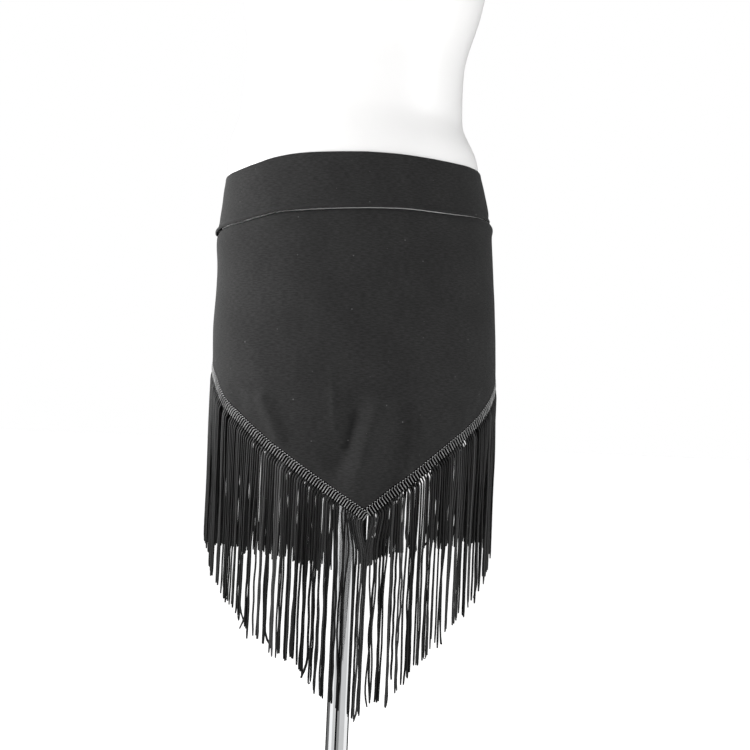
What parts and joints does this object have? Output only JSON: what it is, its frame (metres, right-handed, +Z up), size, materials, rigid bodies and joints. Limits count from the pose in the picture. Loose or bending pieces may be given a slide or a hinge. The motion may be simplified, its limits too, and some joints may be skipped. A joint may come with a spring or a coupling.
{
  "type": "fringe mini skirt on a limbless dress form",
  "caption": "Pull-on stretch mini skirt with a wide waistband, a V-shaped front hem and long hem fringe, worn by a limbless dress form on a pole stand.",
  "frame": {"origin": "bottom middle of the whole part: on the floor under the middle of the base plate and the pole", "axes": "+Z up along the pole, -Y towards the skirt's front, +X towards the right of a viewer who faces the front"},
  "size_m": [0.34, 0.34, 1.48],
  "materials": {
    "skirt_knit": "black stretch knit, soft matt with a faint sheen",
    "fringe_yarn": "black twisted rayon fringe with a soft lustre",
    "form_shell": "white satin plastic",
    "stand_chrome": "polished chrome plate"
  },
  "bodies": {
    "root": {"waistband_front": "skirt_knit", "waistband_back": "skirt_knit", "panel_front": "skirt_knit", "panel_back": "skirt_knit", "fringe_front": "fringe_yarn", "fringe_back": "fringe_yarn", "dress_form": "form_shell", "socket": "stand_chrome", "pole": "stand_chrome", "base_hub": "stand_chrome", "base_plate": "stand_chrome"}
  },
  "joints": []
}
